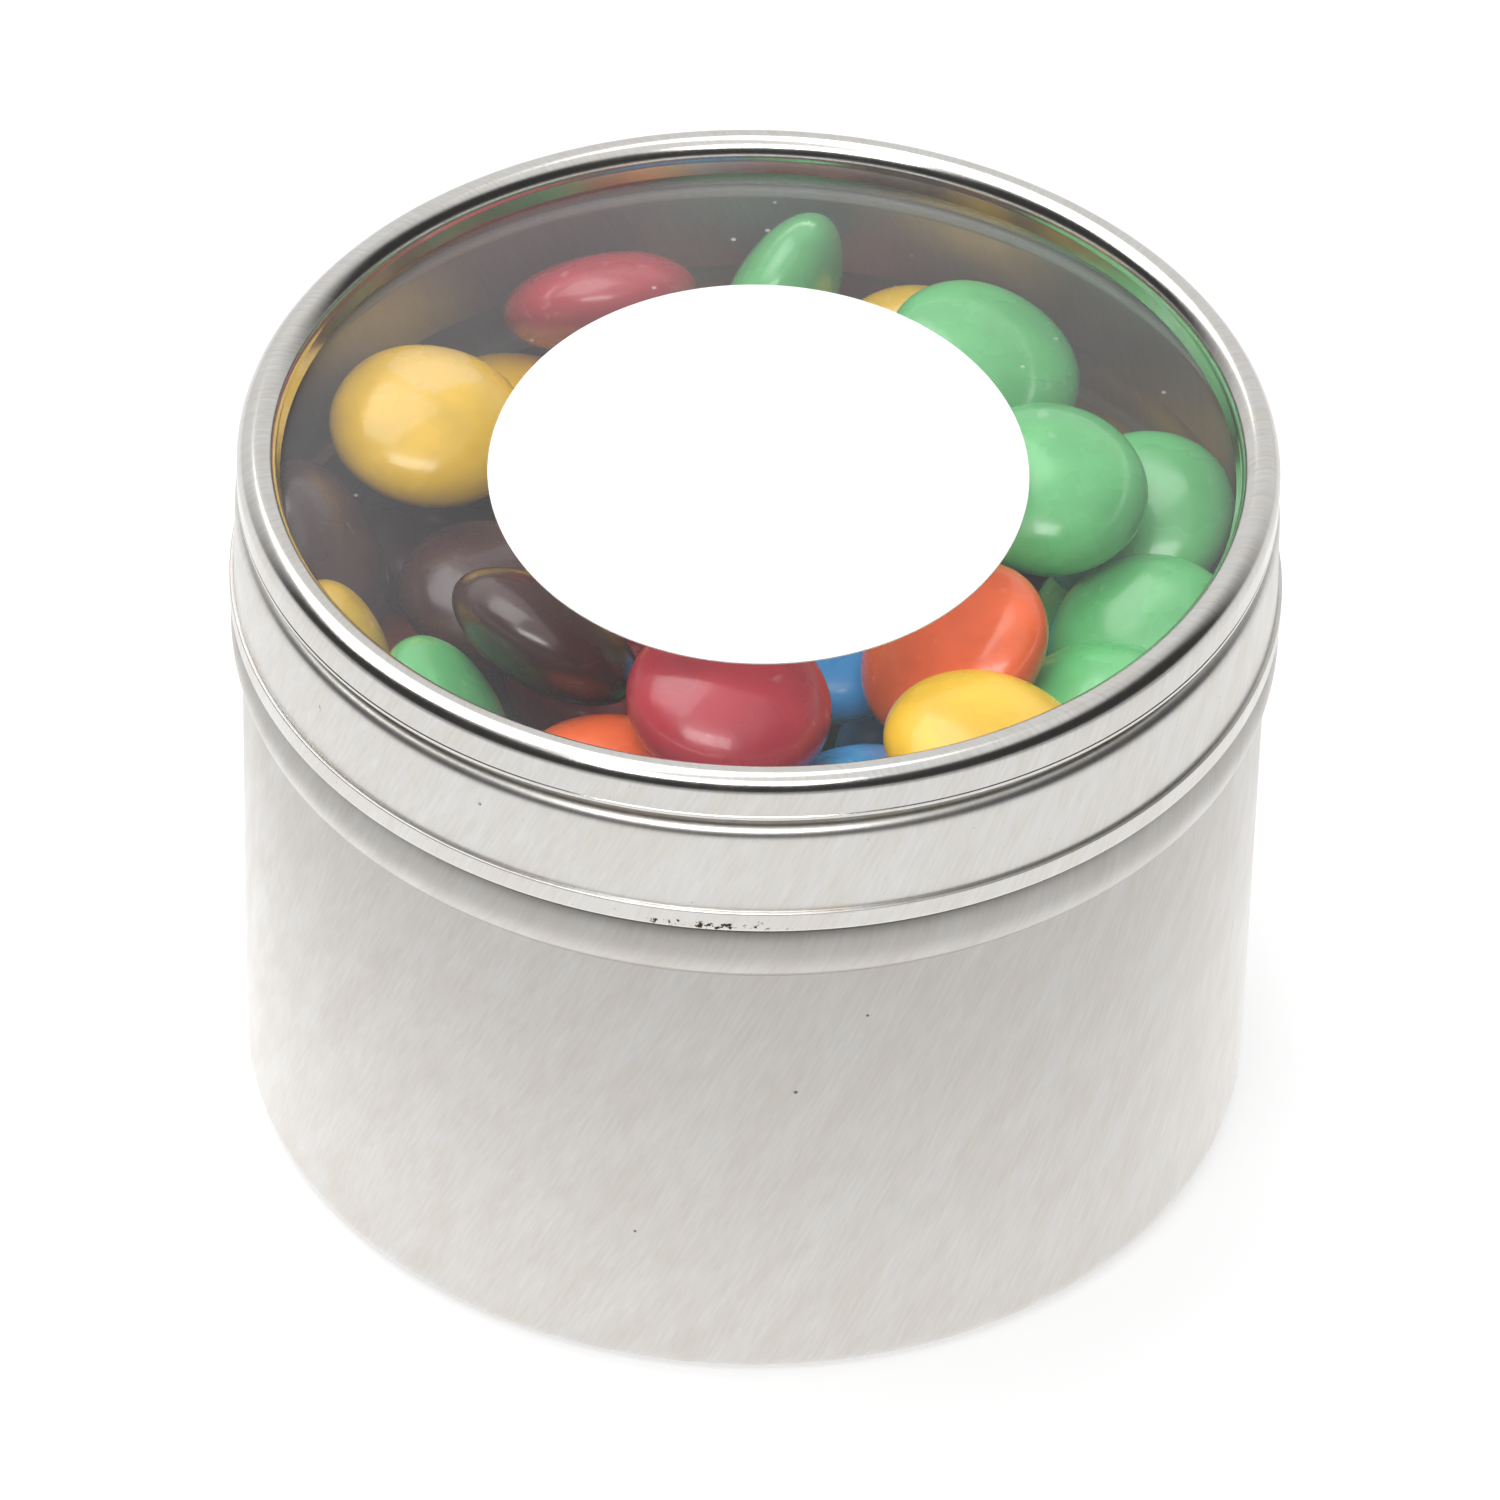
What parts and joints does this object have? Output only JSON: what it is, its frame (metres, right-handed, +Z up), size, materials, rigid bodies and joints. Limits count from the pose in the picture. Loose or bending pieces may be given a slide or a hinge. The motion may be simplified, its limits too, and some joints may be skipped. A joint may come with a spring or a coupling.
{
  "type": "window lid tin",
  "caption": "Round tinplate tin with a lift-off lid framing a clear window, a plain oval label on the window, filled with lentil-shaped sugar-coated sweets.",
  "frame": {"origin": "centre of the tin's underside, on its axis", "axes": "+Z up along the tin's axis, X to the right and -Y towards the viewer of the picture"},
  "size_m": [0.0666, 0.0666, 0.05],
  "materials": {
    "tinplate": "fine-grained bright tinplate",
    "lid_tinplate": "fine-grained bright tinplate, polished rim bead",
    "window": "clear gloss plastic",
    "label": "matte white paper",
    "sugar_red": "glossy red sugar shell",
    "sugar_orange": "glossy orange sugar shell",
    "sugar_yellow": "glossy yellow sugar shell",
    "sugar_green": "glossy green sugar shell",
    "sugar_blue": "glossy blue sugar shell",
    "sugar_brown": "glossy brown sugar shell"
  },
  "bodies": {
    "tin": {"tin_body": "tinplate", "sweets_red": "sugar_red", "sweets_orange": "sugar_orange", "sweets_yellow": "sugar_yellow", "sweets_green": "sugar_green", "sweets_blue": "sugar_blue", "sweets_brown": "sugar_brown"},
    "lid": {"lid_shell": "lid_tinplate", "lid_window": "window", "window_label": "label"}
  },
  "joints": [
    {"name": "lid_lift", "type": "slide", "parent": "tin", "child": "lid", "axis": [0, 0, 1], "range_m": [0, 0.06]}
  ]
}
